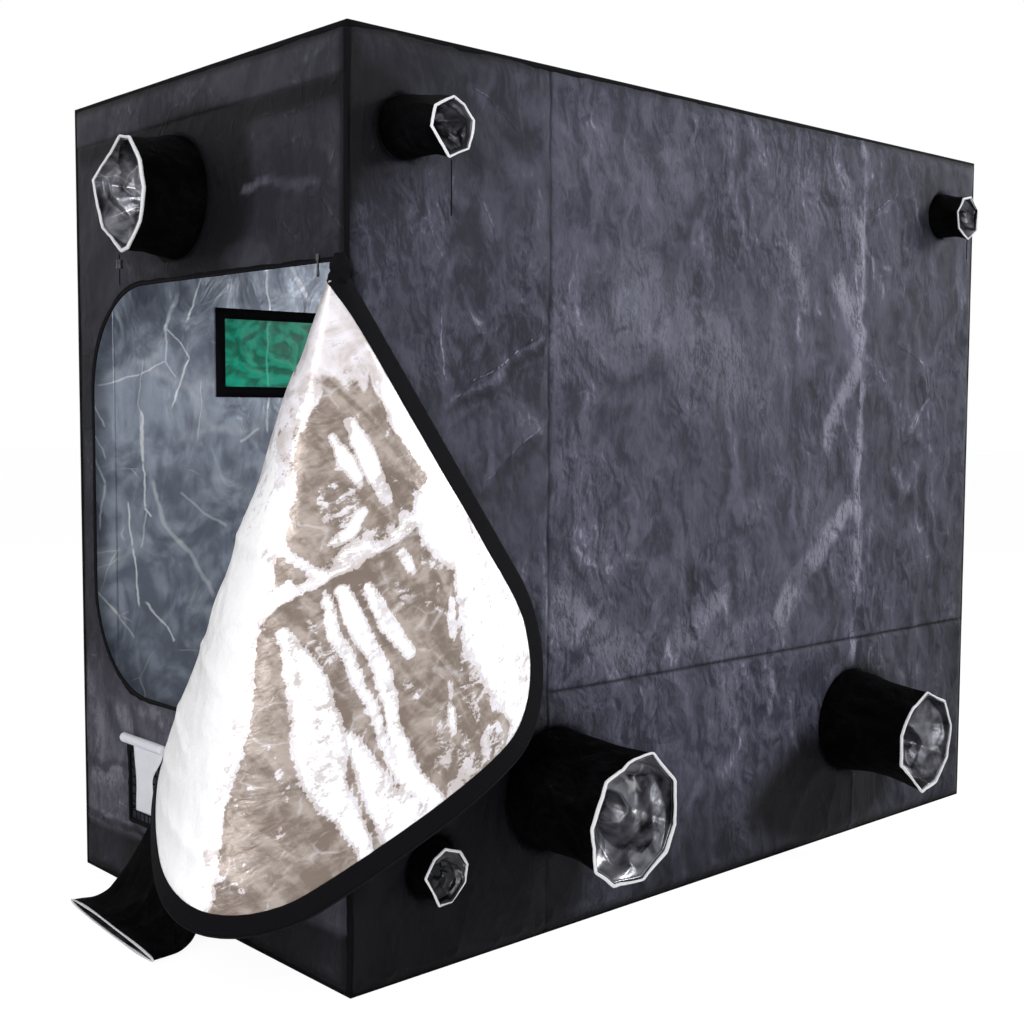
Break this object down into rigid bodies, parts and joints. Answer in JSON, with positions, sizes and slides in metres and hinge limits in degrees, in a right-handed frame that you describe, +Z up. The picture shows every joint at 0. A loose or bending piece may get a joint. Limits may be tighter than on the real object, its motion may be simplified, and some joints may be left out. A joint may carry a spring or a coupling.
{
  "type": "indoor grow tent",
  "caption": "Box-shaped cloth growing tent on a steel pole frame, with duct sleeves, an open end door, twin front doors, a window and a low vent.",
  "frame": {"origin": "middle of the footprint at the underside of the floor panel", "axes": "+X along the tent's length away from the open end door, +Y towards the twin front doors, +Z up"},
  "size_m": [2.7613, 1.4679, 2],
  "materials": {
    "black_cloth": "coated woven polyester, black outside, silver film inside",
    "sleeve_cloth": "thin woven black polyester with a silver lining",
    "silver_lining": "crinkled reflective silver film on cloth",
    "steel_poles": "white powder-coated steel tube",
    "connectors": "moulded black plastic",
    "window_film": "green translucent vinyl film",
    "vent_trim": "silver-white cloth strip, rolled",
    "vent_net": "black woven net",
    "tray_sheet": "black waterproof sheet",
    "zip_metal": "dark nickel zip slider",
    "drawstring": "black braided cord",
    "cord_lock": "moulded black plastic"
  },
  "bodies": {
    "root": {"back_wall": "black_cloth", "corner_high_far_back": "connectors", "corner_high_far_front": "connectors", "corner_high_near_back": "connectors", "corner_high_near_front": "connectors", "corner_low_far_back": "connectors", "corner_low_far_front": "connectors", "corner_low_near_back": "connectors", "corner_low_near_front": "connectors", "cross_rail_high_far": "steel_poles", "cross_rail_high_near": "steel_poles", "cross_rail_low_far": "steel_poles", "cross_rail_low_near": "steel_poles", "end_wall": "black_cloth", "far_end_wall": "black_cloth", "floor_panel": "black_cloth", "front_wall": "black_cloth", "rail_high_far_back": "steel_poles", "rail_high_far_front": "steel_poles", "rail_high_near_back": "steel_poles", "rail_high_near_front": "steel_poles", "rail_low_far_back": "steel_poles", "rail_low_far_front": "steel_poles", "rail_low_near_back": "steel_poles", "rail_low_near_front": "steel_poles", "roof_panel": "black_cloth", "sleeve_back_cable": "sleeve_cloth", "sleeve_back_high_far": "sleeve_cloth", "sleeve_back_high_near": "sleeve_cloth", "sleeve_back_low_far": "sleeve_cloth", "sleeve_back_low_near": "sleeve_cloth", "sleeve_end_floor": "sleeve_cloth", "sleeve_end_high": "sleeve_cloth", "spill_tray": "tray_sheet", "string_back_far": "drawstring", "string_back_near": "drawstring", "string_end_high": "drawstring", "tee_high_back": "connectors", "tee_high_front": "connectors", "tee_low_back": "connectors", "tee_low_front": "connectors", "upright_far_back": "steel_poles", "upright_far_front": "steel_poles", "upright_middle_back": "steel_poles", "upright_middle_front": "steel_poles", "upright_near_back": "steel_poles", "upright_near_front": "steel_poles", "vent_cover": "vent_trim", "vent_net": "vent_net"},
    "hanging_bar_near": {"hanging_bar_near": "steel_poles"},
    "hanging_bar_far": {"hanging_bar_far": "steel_poles"},
    "end_door": {"end_door_flap": "silver_lining"},
    "end_slider": {"end_door_slider": "zip_metal"},
    "front_door_near": {"front_door_near": "black_cloth", "window_film": "window_film"},
    "window_cover": {"window_cover": "black_cloth"},
    "front_door_far": {"front_door_far": "black_cloth"},
    "front_slider_near": {"front_slider_near": "zip_metal"},
    "front_slider_far": {"front_slider_far": "zip_metal"},
    "cord_lock": {"cord_lock": "cord_lock"}
  },
  "joints": [
    {"name": "hanging_bar_near_slide", "type": "slide", "parent": "root", "child": "hanging_bar_near", "axis": [1, 0, 0], "range_m": [-0.54, 0.54]},
    {"name": "hanging_bar_far_slide", "type": "slide", "parent": "root", "child": "hanging_bar_far", "axis": [1, 0, 0], "range_m": [-0.54, 0.54]},
    {"name": "end_door_swing", "type": "hinge", "parent": "root", "child": "end_door", "pos_m": [-1.20105, -0.556, 1], "axis": [0, 0, 1], "range_deg": [-12, 0]},
    {"name": "end_slider_travel", "type": "slide", "parent": "root", "child": "end_slider", "axis": [0, 1, 0], "range_m": [0, 0.74]},
    {"name": "front_door_near_swing", "type": "hinge", "parent": "root", "child": "front_door_near", "pos_m": [-1.112, 0.6013, 0.97], "axis": [0, 0, 1], "range_deg": [0, 170]},
    {"name": "window_cover_swing", "type": "hinge", "parent": "front_door_near", "child": "window_cover", "pos_m": [-0.6, 0.60335, 1.26], "axis": [1, 0, 0], "range_deg": [0, 178]},
    {"name": "front_door_far_swing", "type": "hinge", "parent": "root", "child": "front_door_far", "pos_m": [1.112, 0.6013, 0.97], "axis": [0, 0, -1], "range_deg": [0, 170]},
    {"name": "front_slider_near_travel", "type": "slide", "parent": "root", "child": "front_slider_near", "axis": [0, 0, 1], "range_m": [0, 0.9]},
    {"name": "front_slider_far_travel", "type": "slide", "parent": "root", "child": "front_slider_far", "axis": [0, 0, 1], "range_m": [0, 0.9]},
    {"name": "cord_lock_travel", "type": "slide", "parent": "root", "child": "cord_lock", "axis": [0, 0, 1], "range_m": [-0.03, 0]}
  ]
}
